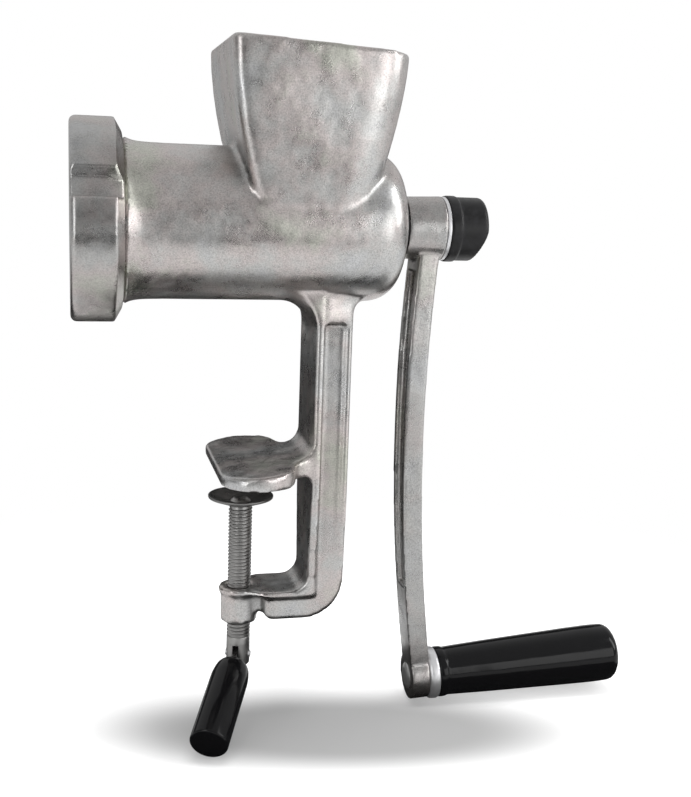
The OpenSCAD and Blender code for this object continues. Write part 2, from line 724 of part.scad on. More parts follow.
// Clamp screw, the loose cup on its tip and the folding grip in its slotted end
cup_top_z = -cup_drop;
cup_floor_z = cup_top_z - cup_h;
neck_d = 6;
screw_top_z = cup_floor_z - cup_t - face_gap;
screw_end_z = screw_top_z - screw_len;
pin_z = screw_end_z + pin_up;
pin_stand = 0.4;
screw_chamfer = 1;
rivet_t = 1.6;
cup_floor_r = neck_d / 2 + 2.4;
module pressure_cup() color(steel_grey) rotate_extrude() difference() {
    polygon([[neck_d / 2 + running, cup_floor_z - cup_t], [cup_floor_r, cup_floor_z - cup_t],
             [cup_d / 2, cup_top_z - cup_t * 0.7], [cup_d / 2, cup_top_z],
             [neck_d / 2 + running, cup_top_z]]);
    polygon([[0, cup_floor_z], [cup_floor_r - cup_t / 2, cup_floor_z], [cup_d / 2 - cup_t, cup_top_z - cup_t * 0.3],
             [cup_d / 2 - cup_t, cup_top_z + 1], [0, cup_top_z + 1]]);
}
module clamp_screw() color(steel_grey) difference() {
    union() {
        translate([0, 0, screw_end_z + screw_chamfer]) cylinder(d = screw_d, h = screw_len - screw_chamfer);
        translate([0, 0, screw_end_z])
            cylinder(d1 = screw_d - 2 * screw_chamfer, d2 = screw_d, h = screw_chamfer);
        translate([0, 0, screw_top_z - 1]) cylinder(d = neck_d, h = cup_t + 2 * face_gap + 2);
        translate([0, 0, cup_floor_z + face_gap]) cylinder(d1 = neck_d + 3, d2 = neck_d - 1, h = rivet_t);
    }
    rotate(-lever_turn) {
        translate([-slot_w / 2, -screw_d, screw_end_z - 1]) cube([slot_w, 2 * screw_d, fork_len + 1]);
        translate([-screw_d, 0, pin_z]) rotate([0, 90, 0]) cylinder(d = lever_pin_d, h = 2 * screw_d);
    }
}
module lever_pin() color(bright_steel)
    rotate(-lever_turn) translate([-screw_d / 2 - pin_stand, 0, pin_z]) rotate([0, 90, 0])
        cylinder(d = lever_pin_d, h = screw_d + 2 * pin_stand);

// Frame of the folding grip: it runs along +Z from the hinge pin
module lever_place() {
    rotate(-lever_turn) translate([0, 0, pin_z]) rotate([90 + lever_droop, 0, 0]) children();
}
tongue_t = slot_w - 0.6;
tongue_depth = 24;
lever_dome_r = 7;
lever_chamfer = 1.2;
module lever_tongue() color(steel_grey) lever_place() difference() {
    rotate([0, -90, 0]) translate([0, 0, -tongue_t / 2]) linear_extrude(tongue_t) {
        circle(d = tongue_w);
        translate([0, -tongue_w / 2]) square([lever_reach + tongue_depth, tongue_w]);
    }
    rotate([0, 90, 0]) translate([0, 0, -tongue_t]) cylinder(r = lever_pin_d / 2 + running, h = 2 * tongue_t);
}
module lever_grip() color(black_plastic) lever_place() difference() {
    translate([0, 0, lever_reach]) rotate_extrude() difference() {
        square([lever_d / 2, lever_len]);
        translate([lever_d / 2 - lever_dome_r, lever_dome_r]) difference() {
            translate([0, -lever_dome_r - 1]) square(lever_dome_r + 1);
            circle(r = lever_dome_r);
        }
        translate([lever_d / 2 - lever_chamfer, lever_len]) rotate(-45) square(2 * lever_chamfer);
    }
    translate([-tongue_t / 2, -tongue_w / 2, 0]) cube([tongue_t, tongue_w, lever_reach + tongue_depth]);
}

body();
bush();
plate_key();
auger();
auger_pin();
knife();
plate();
ring_nut();
crank();
crank_washer();
crank_screw_stud();
crank_screw_knob();
grip_axle();
grip_collar();
grip();
grip_end_washer();
pressure_cup();
clamp_screw();
lever_pin();
lever_tongue();
lever_grip();
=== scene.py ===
"""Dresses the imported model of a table-clamp meat grinder: finishes, fine shapes, floor, light and camera."""
import json
import math

import bmesh
import bpy
from bpy.props import FloatProperty, FloatVectorProperty, IntProperty, PointerProperty
from mathutils import Matrix, Vector


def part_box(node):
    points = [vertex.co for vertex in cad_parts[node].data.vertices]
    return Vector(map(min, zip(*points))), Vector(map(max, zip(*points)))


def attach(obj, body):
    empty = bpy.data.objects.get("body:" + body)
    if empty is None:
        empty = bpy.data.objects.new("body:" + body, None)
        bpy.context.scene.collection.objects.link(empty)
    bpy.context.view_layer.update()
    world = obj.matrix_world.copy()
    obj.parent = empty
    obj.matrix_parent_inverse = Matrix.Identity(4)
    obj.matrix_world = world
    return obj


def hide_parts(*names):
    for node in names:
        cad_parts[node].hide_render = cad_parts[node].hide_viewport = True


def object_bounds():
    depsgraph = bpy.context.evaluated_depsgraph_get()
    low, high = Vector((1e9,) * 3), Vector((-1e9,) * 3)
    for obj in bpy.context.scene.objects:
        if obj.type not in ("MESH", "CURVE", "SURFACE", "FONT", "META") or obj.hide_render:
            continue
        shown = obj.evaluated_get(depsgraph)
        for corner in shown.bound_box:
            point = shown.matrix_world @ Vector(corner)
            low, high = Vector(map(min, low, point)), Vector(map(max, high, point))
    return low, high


bl_info = {
    "name": "Meat grinder",
    "version": (1, 0, 0),
    "blender": (4, 5, 0),
    "location": "View3D > Sidebar > Grinder",
    "description": "Builds the fine shapes and finishes of a table-clamp meat grinder",
    "category": "Object",
}

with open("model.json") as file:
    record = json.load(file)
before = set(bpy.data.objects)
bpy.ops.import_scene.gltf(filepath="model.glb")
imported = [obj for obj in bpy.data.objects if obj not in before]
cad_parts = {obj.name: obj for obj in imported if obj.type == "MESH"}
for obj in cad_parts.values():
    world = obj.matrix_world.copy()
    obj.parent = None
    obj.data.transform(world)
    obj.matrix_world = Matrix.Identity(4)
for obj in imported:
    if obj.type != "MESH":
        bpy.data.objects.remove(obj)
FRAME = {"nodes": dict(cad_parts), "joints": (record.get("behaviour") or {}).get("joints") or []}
NODES = FRAME["nodes"]
JOINTS = {joint["name"]: joint for joint in FRAME["joints"]}
CAD_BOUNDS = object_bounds()
MM = 0.001
PHOTO_HEIGHT = 797


def low(node):
    """Lowest corner of a node's box."""
    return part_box(node)[0]


def high(node):
    """Highest corner of a node's box."""
    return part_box(node)[1]


def frame_at(point, axis):
    """Frame at a point, with its Z along the axis and its X level or downwards."""
    along = Vector(axis).normalized()
    across = Vector((0, 1, 0)) if abs(along.y) < 0.1 else Vector((0, 0, 1))
    return Matrix.Translation(point) @ Matrix((across.cross(along), across, along)).transposed().to_4x4()


def turned(node, frame):
    """Start, end and largest radius of a node about the Z axis of a frame."""
    to_frame = frame.inverted()
    points = [to_frame @ vert.co for vert in NODES[node].data.vertices]
    along = [point.z for point in points]
    return min(along), max(along), max(point.xy.length for point in points)


# Axes that the turned pieces lie on

BARREL_Z = JOINTS["crank_spin"]["pos_m"][2]
BARREL = frame_at((0, 0, BARREL_Z), JOINTS["crank_spin"]["axis"])
HANDLE = frame_at(JOINTS["handle_spin"]["pos_m"], JOINTS["handle_spin"]["axis"])
SCREW = Matrix.Identity(4)


# Sizes and colours a user would change

class GrinderCasting(bpy.types.PropertyGroup):
    voxel: FloatProperty(
        name="Casting grid", description="Cell size that the casting is rebuilt at",
        default=1.05 * MM, min=0.5 * MM, subtype="DISTANCE", precision=5)
    rounds: IntProperty(
        name="Fillet rounds", description="How often the casting's edges are relaxed", default=7, min=0)
    small_voxel: FloatProperty(
        name="Small part grid", description="Cell size that the nut, crank and feed screw are rebuilt at",
        default=0.62 * MM, min=0.3 * MM, subtype="DISTANCE", precision=5)
    small_rounds: IntProperty(
        name="Small part rounds", description="How often the small parts' edges are relaxed",
        default=4, min=0)
    barrel_radius: FloatProperty(
        name="Barrel radius", description="Outside of the barrel behind its collar",
        default=30 * MM, subtype="DISTANCE", precision=5)
    collar_height: FloatProperty(
        name="Collar height", description="How far the barrel's collar stands out at the ring nut",
        default=1.9 * MM, subtype="DISTANCE", precision=5)
    nut_turn: FloatProperty(
        name="Nut turn", description="How far the ring nut is screwed round when tight",
        default=math.radians(14), subtype="ANGLE")


class GrinderThreads(bpy.types.PropertyGroup):
    screw_lead: FloatProperty(
        name="Screw lead", description="Lead of the clamp screw",
        default=1.5 * MM, subtype="DISTANCE", precision=5)
    screw_height: FloatProperty(
        name="Screw thread height", description="Height of the clamp screw's thread",
        default=0.5 * MM, subtype="DISTANCE", precision=5)


class GrinderColours(bpy.types.PropertyGroup):
    casting: FloatVectorProperty(
        name="Casting", description="Tumbled aluminium of the casting",
        default=(0.50, 0.496, 0.486), subtype="COLOR")
    nut: FloatVectorProperty(
        name="Nut", description="Turned aluminium of the ring nut",
        default=(0.42, 0.417, 0.409), subtype="COLOR")
    steel: FloatVectorProperty(
        name="Steel", description="Steel of the small parts",
        default=(0.34, 0.336, 0.33), subtype="COLOR")
    bright: FloatVectorProperty(
        name="Bright steel", description="Plated washers and collar",
        default=(0.80, 0.797, 0.79), subtype="COLOR")
    plastic: FloatVectorProperty(
        name="Gloss plastic", description="Black of the two grips",
        default=(0.004, 0.004, 0.0045), subtype="COLOR")
    polymer: FloatVectorProperty(
        name="Matt plastic", description="Black of the knob and the bush",
        default=(0.004, 0.004, 0.0045), subtype="COLOR")


class GrinderStage(bpy.types.PropertyGroup):
    camera_place: FloatVectorProperty(
        name="Camera", description="Place of the camera",
        default=(-0.0696, -0.4591, 0.1192), subtype="TRANSLATION", precision=5)
    camera_yaw: FloatProperty(
        name="Yaw", description="Turn of the camera about the vertical",
        default=math.radians(-13.8), subtype="ANGLE")
    camera_pitch: FloatProperty(
        name="Pitch", description="How far the camera looks down",
        default=math.radians(10.8), subtype="ANGLE")
    camera_roll: FloatProperty(
        name="Roll", description="Tilt of the camera about its line of sight",
        default=math.radians(2.04), subtype="ANGLE")
    focal_pixels: FloatProperty(
        name="Focal length", description="Focal length in pixels of the photograph", default=1156)
    light: FloatProperty(name="Light", description="Strength of all the lamps", default=1.0, min=0)


# Meshes

def outline_solid(outline, closed=False, segments=96):
    """Solid of revolution about Z. The outline is (along, radius, bevel) corners; a closed one is a ring."""
    bm = bmesh.new()
    verts = [bm.verts.new((radius, 0, along)) for along, radius, _ in outline]
    edges = [bm.edges.new(pair) for pair in zip(verts, verts[1:])]
    if closed:
        edges.append(bm.edges.new((verts[-1], verts[0])))
    bmesh.ops.spin(bm, geom=verts + edges, cent=(0, 0, 0), axis=(0, 0, 1), angle=math.tau, steps=segments,
                   use_merge=True)
    bmesh.ops.remove_doubles(bm, verts=bm.verts, dist=1e-7)
    bmesh.ops.recalc_face_normals(bm, faces=bm.faces)
    for along, radius, bevel in outline:
        if bevel:
            ring = [e for e in bm.edges if all(on_ring(v, along, radius) for v in e.verts)]
            bmesh.ops.bevel(bm, geom=ring, offset=bevel, offset_type="OFFSET", segments=4, profile=0.5,
                            affect="EDGES", material=-1, clamp_overlap=True)
    bmesh.ops.remove_doubles(bm, verts=bm.verts, dist=0.002 * MM)
    return bm


def on_ring(vert, along, radius):
    """Whether a vertex lies on the circle of that radius about Z at that height."""
    tolerance = 0.001 * MM
    return abs(vert.co.z - along) < tolerance and abs(vert.co.xy.length - radius) < tolerance


def cut_flat(bm, point, outward):
    """Cuts off what lies beyond a plane through the point, and closes the cut."""
    cut = bmesh.ops.bisect_plane(bm, geom=bm.verts[:] + bm.edges[:] + bm.faces[:],
                                 plane_co=point, plane_no=outward, clear_outer=True)
    rim = [e for e in cut["geom_cut"] if isinstance(e, bmesh.types.BMEdge)]
    bmesh.ops.contextual_create(bm, geom=rim)


def helix(section, lead, start, end, steps_per_turn):
    """Ridge of (along, radius) corners wound about Z, cut flat at its start and end."""
    bm = bmesh.new()
    first = start - lead
    turns = (end - start) / lead + 2
    steps = math.ceil(steps_per_turn * turns)
    face = bm.faces.new([bm.verts.new((radius, 0, first + along)) for along, radius in section])
    bmesh.ops.spin(bm, geom=[face], cent=(0, 0, 0), axis=(0, 0, 1), angle=math.tau * turns, steps=steps,
                   dvec=(0, 0, lead * turns / steps), use_duplicate=False)
    cut_flat(bm, (0, 0, start), (0, 0, -1))
    cut_flat(bm, (0, 0, end), (0, 0, 1))
    bmesh.ops.recalc_face_normals(bm, faces=bm.faces)
    return bm


def block(size, centre):
    """Box of that size about its centre."""
    bm = bmesh.new()
    bmesh.ops.create_cube(bm, size=1)
    bmesh.ops.scale(bm, vec=size, verts=bm.verts)
    bmesh.ops.translate(bm, vec=centre, verts=bm.verts)
    return bm


def place(bm, matrix):
    """Moves a bmesh by a matrix and hands it back."""
    bmesh.ops.transform(bm, matrix=matrix, verts=bm.verts)
    return bm


def joined(*parts):
    """One bmesh that holds all the parts. It is the first of them, and the others are freed."""
    whole = parts[0]
    for part in parts[1:]:
        mesh = bpy.data.meshes.new("join")
        part.to_mesh(mesh)
        part.free()
        whole.from_mesh(mesh)
        bpy.data.meshes.remove(mesh)
    return whole


def cad_copy(node):
    """Merged copy of a node's mesh."""
    bm = bmesh.new()
    bm.from_mesh(NODES[node].data)
    bmesh.ops.remove_doubles(bm, verts=bm.verts, dist=1e-6)
    return bm


def as_object(name, bm):
    """Object in the scene with the mesh of a bmesh, which is freed."""
    mesh = bpy.data.meshes.new(name)
    bm.to_mesh(mesh)
    bm.free()
    piece = bpy.data.objects.new(name, mesh)
    bpy.context.scene.collection.objects.link(piece)
    return piece


def bake_modifiers(piece):
    """Gives the piece the mesh that its modifiers make, and takes the modifiers off."""
    seen = piece.evaluated_get(bpy.context.evaluated_depsgraph_get())
    mesh = bpy.data.meshes.new_from_object(seen)
    piece.modifiers.clear()
    old = piece.data
    piece.data = mesh
    bpy.data.meshes.remove(old)


def relaxed(bm, voxel, rounds):
    """The solids of bm as one skin, with soft edges: rebuilt on a grid and relaxed."""
    piece = as_object("relaxed", bm)
    remesh = piece.modifiers.new("Grid", "REMESH")
    remesh.mode = "VOXEL"
    remesh.voxel_size = voxel
    smooth = piece.modifiers.new("Relax", "SMOOTH")
    smooth.factor = 0.5
    smooth.iterations = rounds
    bake_modifiers(piece)
    skin = bmesh.new()
    skin.from_mesh(piece.data)
    bpy.data.objects.remove(piece)
    return skin


def finish_piece(name, bm, body, material, replaced, sharp=math.radians(40)):
    """Turns a bmesh into a named piece on a body, with its finish, and hides the node that it stands for."""
    piece = as_object(name, bm)
    for polygon in piece.data.polygons:
        polygon.use_smooth = True
    piece.data.set_sharp_from_angle(angle=sharp)
    piece.data.materials.append(bpy.data.materials[material])
    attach(piece, body)
    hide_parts(replaced)


def finish_node(node, material):
    """Gives a node its finish as it is."""
    data = NODES[node].data
    data.materials.clear()
    data.materials.append(bpy.data.materials[material])


# Finishes

WHITE = (1, 1, 1)


def scaled(colour, factor):
    """A colour, lighter or darker by a factor."""
    return tuple(factor * c for c in colour)


def tinted(colour, tint, red, green, blue):
    """A colour with a share of the tint added to each of its parts."""
    return tuple(c * (1 + share * tint) for c, share in zip(colour, (red, green, blue)))


class NodeTree:
    """The nodes of a material or of the world, added one by one."""

    def __init__(self, tree):
        self.tree = tree

    def node(self, kind, sockets=None, **settings):
        """Adds a node. Each socket takes a value, or a link from another node's output."""
        made = self.tree.nodes.new(kind)
        for key, value in settings.items():
            setattr(made, key, value)
        for key, value in (sockets or {}).items():
            if isinstance(value, bpy.types.NodeSocket):
                self.tree.links.new(value, made.inputs[key])
            else:
                made.inputs[key].default_value = value
        return made


class Finish(NodeTree):
    """A material under construction: a Principled shader and the patterns that feed it."""

    def __init__(self, name, colour, metallic, roughness):
        material = bpy.data.materials.new(name)
        material.use_nodes = True
        super().__init__(material.node_tree)
        self.shader = self.tree.nodes["Principled BSDF"]
        self.shader.inputs["Base Color"].default_value = (*colour, 1)
        self.shader.inputs["Metallic"].default_value = metallic
        self.shader.inputs["Roughness"].default_value = roughness
        self.where = self.node("ShaderNodeTexCoord").outputs["Object"]
        self.normal = None

    def noise(self, size, detail, roughness=0.5, stretch=(1, 1, 1)):
        """Noise whose cells are about size metres, drawn out along an axis where stretch is small."""
        mapping = self.node("ShaderNodeMapping", {"Vector": self.where, "Scale": stretch})
        cells = self.node("ShaderNodeTexNoise", {
            "Vector": mapping.outputs["Vector"], "Scale": 1 / size, "Detail": detail, "Roughness": roughness})
        return cells.outputs["Fac"]

    def remap(self, value, old, new):
        """Maps a pattern from the old pair of values to the new pair."""
        made = self.node("ShaderNodeMapRange", {
            "Value": value, "From Min": old[0], "From Max": old[1], "To Min": new[0], "To Max": new[1]})
        return made.outputs["Result"]

    def ramp(self, value, *stops):
        """Colour ramp of (place, colour) stops."""
        made = self.node("ShaderNodeValToRGB", {"Fac": value})
        elements = made.color_ramp.elements
        while len(elements) < len(stops):
            elements.new(0.5)
        for element, (at, colour) in zip(elements, stops):
            element.position = at
            element.color = (*colour, 1)
        return made.outputs["Color"]

    def times(self, a, b):
        """One colour pattern multiplied by another."""
        made = self.node("ShaderNodeMix", {"Factor": 1.0, 6: a, 7: b}, data_type="RGBA",
                         blend_type="MULTIPLY")
        return made.outputs[2]

    def feed(self, socket, value):
        """Links a pattern to a socket of the shader."""
        self.tree.links.new(value, self.shader.inputs[socket])

    def bump(self, height, distance):
        """Adds relief of that depth in metres to what is there."""
        sockets = {"Height": height, "Distance": distance, "Strength": 1.0}
        if self.normal:
            sockets["Normal"] = self.normal
        self.normal = self.node("ShaderNodeBump", sockets).outputs["Normal"]
        self.feed("Normal", self.normal)


def tumbled_aluminium(name, colour, grain, speckle, tint):
    """Aluminium that was tumbled bright: mottled and speckled, with painted shade that darkens its colour in
    recesses.
    """
    finish = Finish(name, colour, metallic=1.0, roughness=0.4)
    cool = tinted(colour, tint, -0.7, -0.3, 0.5)
    warm = tinted(colour, tint, 1, -0.8, -0.9)
    olive = tinted(colour, tint, 0, 0.2, -1.6)
    blotch = finish.noise(30 * MM, detail=4, roughness=0.6)
    body_colour = finish.ramp(blotch, (0.32, cool), (0.45, colour), (0.55, warm), (0.66, olive))
    fine = finish.noise(0.55 * MM, detail=3, roughness=0.75)
    dark_fleck = (1 - speckle,) * 3
    light_fleck = (1 + 0.6 * speckle,) * 3
    flecks = finish.ramp(fine, (0.34, dark_fleck), (0.5, WHITE), (0.64, light_fleck))
    speckled = finish.times(body_colour, flecks)
    patches = finish.noise(9 * MM, detail=5, roughness=0.6)
    smoky = finish.ramp(patches, (0.34, (0.90, 0.90, 0.90)), (0.5, WHITE), (0.66, (1.08, 1.08, 1.08)))
    mottled = finish.times(speckled, smoky)
    # Painted shade: ambient occlusion darkens the colour in recesses, corners and between parts.
    reach = finish.node("ShaderNodeAmbientOcclusion", {"Distance": 11 * MM}, samples=6, only_local=True)
    painted_recess_shade = finish.ramp(reach.outputs["AO"], (0.35, (0.34, 0.335, 0.33)), (0.92, WHITE))
    finish.feed("Base Color", finish.times(mottled, painted_recess_shade))
    finish.feed("Roughness", finish.remap(patches, (0.3, 0.7), (0.22, 0.38)))
    finish.bump(finish.noise(15 * MM, detail=2), 0.6 * MM)
    finish.bump(finish.noise(4 * MM, detail=2), 0.02 * MM)
    finish.bump(fine, grain)


def turned_steel(name, colour, roughness, along):
    """Turned steel: fine rings about the axis that along names, and dull patches."""
    finish = Finish(name, colour, metallic=1.0, roughness=roughness)
    stretch = tuple(1.0 if axis == along else 0.03 for axis in "XYZ")
    rings = finish.noise(0.25 * MM, detail=2, stretch=stretch)
    patches = finish.noise(5 * MM, detail=4, roughness=0.6)
    finish.feed("Roughness", finish.remap(patches, (0.3, 0.7), (roughness * 0.75, roughness * 1.35)))
    finish.feed("Base Color", finish.ramp(patches, (0.3, scaled(colour, 0.82)), (0.6, scaled(colour, 1.05))))
    finish.bump(rings, 0.012 * MM)


def gloss_plastic(name, colour):
    """Polished black moulding with faint ripple and handling marks."""
    finish = Finish(name, colour, metallic=0.0, roughness=0.12)
    marks = finish.noise(7 * MM, detail=6, roughness=0.7)
    finish.feed("Roughness", finish.remap(marks, (0.35, 0.75), (0.07, 0.22)))
    finish.bump(finish.noise(12 * MM, detail=1), 0.12 * MM)
    finish.bump(finish.noise(0.5 * MM, detail=2), 0.002 * MM)
    finish.shader.inputs["IOR"].default_value = 1.5
    finish.shader.inputs["Specular IOR Level"].default_value = 0.2


def matt_polymer(name, colour):
    """Semi-matt black moulding with greyish smudges."""
    finish = Finish(name, colour, metallic=0.0, roughness=0.42)
    smudge = finish.noise(6 * MM, detail=5, roughness=0.65)
    finish.feed("Base Color", finish.ramp(smudge, (0.45, colour), (0.72, scaled(colour, 4))))
    finish.feed("Roughness", finish.remap(smudge, (0.3, 0.7), (0.28, 0.55)))
    finish.bump(finish.noise(0.4 * MM, detail=2), 0.01 * MM)
    finish.shader.inputs["Specular IOR Level"].default_value = 0.3


class GRINDER_OT_finishes(bpy.types.Operator):
    """Make the grinder's materials"""
    bl_idname = "grinder.finishes"
    bl_label = "Finishes"

    def execute(self, context):
        colours = context.scene.grinder_colours
        # Painted shade: the crank's metal is a copy of the casting's, darkened by a fifth.
        crank_shaded_colour = scaled(colours.casting, 0.80)
        # Painted shade: the cup's steel is a copy of the steel, darkened to six tenths.
        cup_shaded_colour = scaled(colours.steel, 0.6)
        tumbled_aluminium("casting", colours.casting, grain=0.05 * MM, speckle=0.30, tint=0.045)
        tumbled_aluminium("crank_metal", crank_shaded_colour, grain=0.05 * MM, speckle=0.30, tint=0.03)
        tumbled_aluminium("feed_casting", colours.casting, grain=0.02 * MM, speckle=0.12, tint=0.01)
        tumbled_aluminium("nut_metal", colours.nut, grain=0.03 * MM, speckle=0.22, tint=0.04)
        turned_steel("steel", colours.steel, roughness=0.3, along="X")
        turned_steel("screw_steel", colours.steel, roughness=0.34, along="Z")
        turned_steel("cup_steel", cup_shaded_colour, roughness=0.34, along="Z")
        turned_steel("bright_steel", colours.bright, roughness=0.16, along="X")
        gloss_plastic("gloss_black", colours.plastic)
        matt_polymer("matt_black", colours.polymer)
        return {"FINISHED"}


# Pieces

class BarrelAxis:
    """Reads and moves a vertex about the barrel's axis."""

    @staticmethod
    def read(vert):
        """How far along the axis the vertex lies, and how far off it to the side and upwards."""
        return vert.co.x, Vector((vert.co.y, vert.co.z - BARREL_Z))

    @staticmethod
    def move(vert, off):
        """Moves the vertex to that place off the axis."""
        vert.co.y = off.x
        vert.co.z = off.y + BARREL_Z


class ScrewAxis:
    """Reads and moves a vertex about the clamp screw's axis."""

    @staticmethod
    def read(vert):
        """How high the vertex lies, and how far off the axis to the two sides."""
        return vert.co.z, vert.co.xy

    @staticmethod
    def move(vert, off):
        """Moves the vertex to that place off the axis."""
        vert.co.xy = off


def keep_bore(bm, radius, start, end, axis):
    """Pushes out what the relaxing drew into a round bore."""
    inside = 0.6 * radius
    for vert in bm.verts:
        along, off = axis.read(vert)
        if start < along < end and inside < off.length < radius:
            off *= radius / off.length
            axis.move(vert, off)


def hollow_collar(bm, values):
    """Draws the barrel's collar in to a low rim that sweeps into the barrel."""
    start = high("ring_nut").x
    rim = MM
    sweep = 3 * MM
    reach = 14 * MM
    for vert in bm.verts:
        along, off = BarrelAxis.read(vert)
        behind = along - start
        limit = values.barrel_radius + values.collar_height * math.exp(-max(behind - rim, 0) / sweep)
        if 0 < behind < reach and off.length > limit:
            off *= limit / off.length
            BarrelAxis.move(vert, off)


class GRINDER_OT_casting(bpy.types.Operator):
    """Rebuild the casting with the soft fillets of a tumbled casting"""
    bl_idname = "grinder.casting"
    bl_label = "Casting"

    def execute(self, context):
        values = context.scene.grinder_casting
        bm = relaxed(cad_copy("body"), values.voxel, values.rounds)
        barrel_bore = high("auger").z - BARREL_Z + 0.3 * MM
        keep_bore(bm, barrel_bore, low("auger").x - 6 * MM, low("bush").x - 0.5 * MM, BarrelAxis)
        hollow_collar(bm, values)
        arm_bore = 4.95 * MM
        above_arm = -45 * MM
        keep_bore(bm, arm_bore, low("body").z - MM, above_arm, ScrewAxis)
        finish_piece("casting", bm, "housing", "casting", "body")
        return {"FINISHED"}


class GRINDER_OT_ring_nut(bpy.types.Operator):
    """Round the edges of the ring nut"""
    bl_idname = "grinder.ring_nut"
    bl_label = "Ring nut"

    def execute(self, context):
        values = context.scene.grinder_casting
        bm = relaxed(cad_copy("ring_nut"), values.small_voxel, values.small_rounds)
        bmesh.ops.rotate(bm, cent=Vector((0, 0, BARREL_Z)), matrix=Matrix.Rotation(values.nut_turn, 3, "X"),
                         verts=bm.verts)
        finish_piece("nut", bm, "nut", "nut_metal", "ring_nut")
        return {"FINISHED"}


class GRINDER_OT_feed_screw(bpy.types.Operator):
    """Wind the flight of the feed screw and blend it into its core"""
    bl_idname = "grinder.feed_screw"
    bl_label = "Feed screw"

    def execute(self, context):
        values = context.scene.grinder_casting
        front, back = low("auger").x, high("auger").x
        flight_r = high("auger").z - BARREL_Z - 0.1 * MM
        core_r = 11 * MM
        journal_r = 9 * MM
        square_side = 12 * MM
        lead = 30 * MM
        nose = 0.6 * MM
        root_half, crest_half = 4.4 * MM, 2.8 * MM
        thrust = 4 * MM
        thrust_back = low("bush").x - 0.3 * MM
        shoulder = thrust_back - thrust - front
        journal_end = low("crank").x - 0.2 * MM
        section = [(-root_half, core_r - MM), (-crest_half, flight_r), (crest_half, flight_r),
                   (root_half, core_r - MM)]
        flight = helix(section, lead, nose, thrust_back - thrust / 2 - front, steps_per_turn=64)
        core = outline_solid([
            (0, 0, 0), (0, core_r, MM), (shoulder, core_r, 0), (shoulder, flight_r, 0),
            (thrust_back - front, flight_r, 0), (thrust_back - front, journal_r, 0),
            (journal_end - front, journal_r, 0), (journal_end - front, 0, 0)])
        screw = place(joined(core, flight), BARREL @ Matrix.Translation((0, 0, front)))
        square = block((back - journal_end + MM, square_side, square_side),
                       ((back + journal_end - MM) / 2, 0, BARREL_Z))
        bm = relaxed(joined(screw, square), values.small_voxel, values.small_rounds)
        finish_piece("feed_screw", bm, "feed_screw", "feed_casting", "auger")
        return {"FINISHED"}


class GRINDER_OT_cutter(bpy.types.Operator):
    """Finish the knife, the plate and what holds them"""
    bl_idname = "grinder.cutter"
    bl_label = "Knife and plate"

    def execute(self, context):
        for node in ("knife", "plate", "plate_key", "auger_pin"):
            finish_node(node, "steel")
        finish_node("bush", "matt_black")
        return {"FINISHED"}


class GRINDER_OT_crank(bpy.types.Operator):
    """Blend the crank's boss, arm and eye"""
    bl_idname = "grinder.crank"
    bl_label = "Crank"

    def execute(self, context):
        values = context.scene.grinder_casting
        bm = relaxed(cad_copy("crank"), values.small_voxel, values.small_rounds)
        finish_piece("crank_casting", bm, "crank_arm", "crank_metal", "crank")
        return {"FINISHED"}


class GRINDER_OT_crank_screw(bpy.types.Operator):
    """Turn the crank's washer, and soften the edges of the knob"""
    bl_idname = "grinder.crank_screw"
    bl_label = "Crank screw"

    def execute(self, context):
        hole_r = 4.4 * MM
        start, end, outer = turned("crank_washer", BARREL)
        washer = outline_solid([
            (start, hole_r, 0.1 * MM), (start, outer, 0.35 * MM), (end, outer, 0.35 * MM),
            (end, hole_r, 0.1 * MM)], closed=True)
        finish_piece("washer", place(washer, BARREL), "crank_arm", "bright_steel",
                     "crank_washer")
        knob = relaxed(cad_copy("crank_screw_knob"), voxel=0.4 * MM, rounds=3)
        finish_piece("knob", knob, "crank_screw", "matt_black", "crank_screw_knob")
        finish_node("crank_screw_stud", "steel")
        return {"FINISHED"}


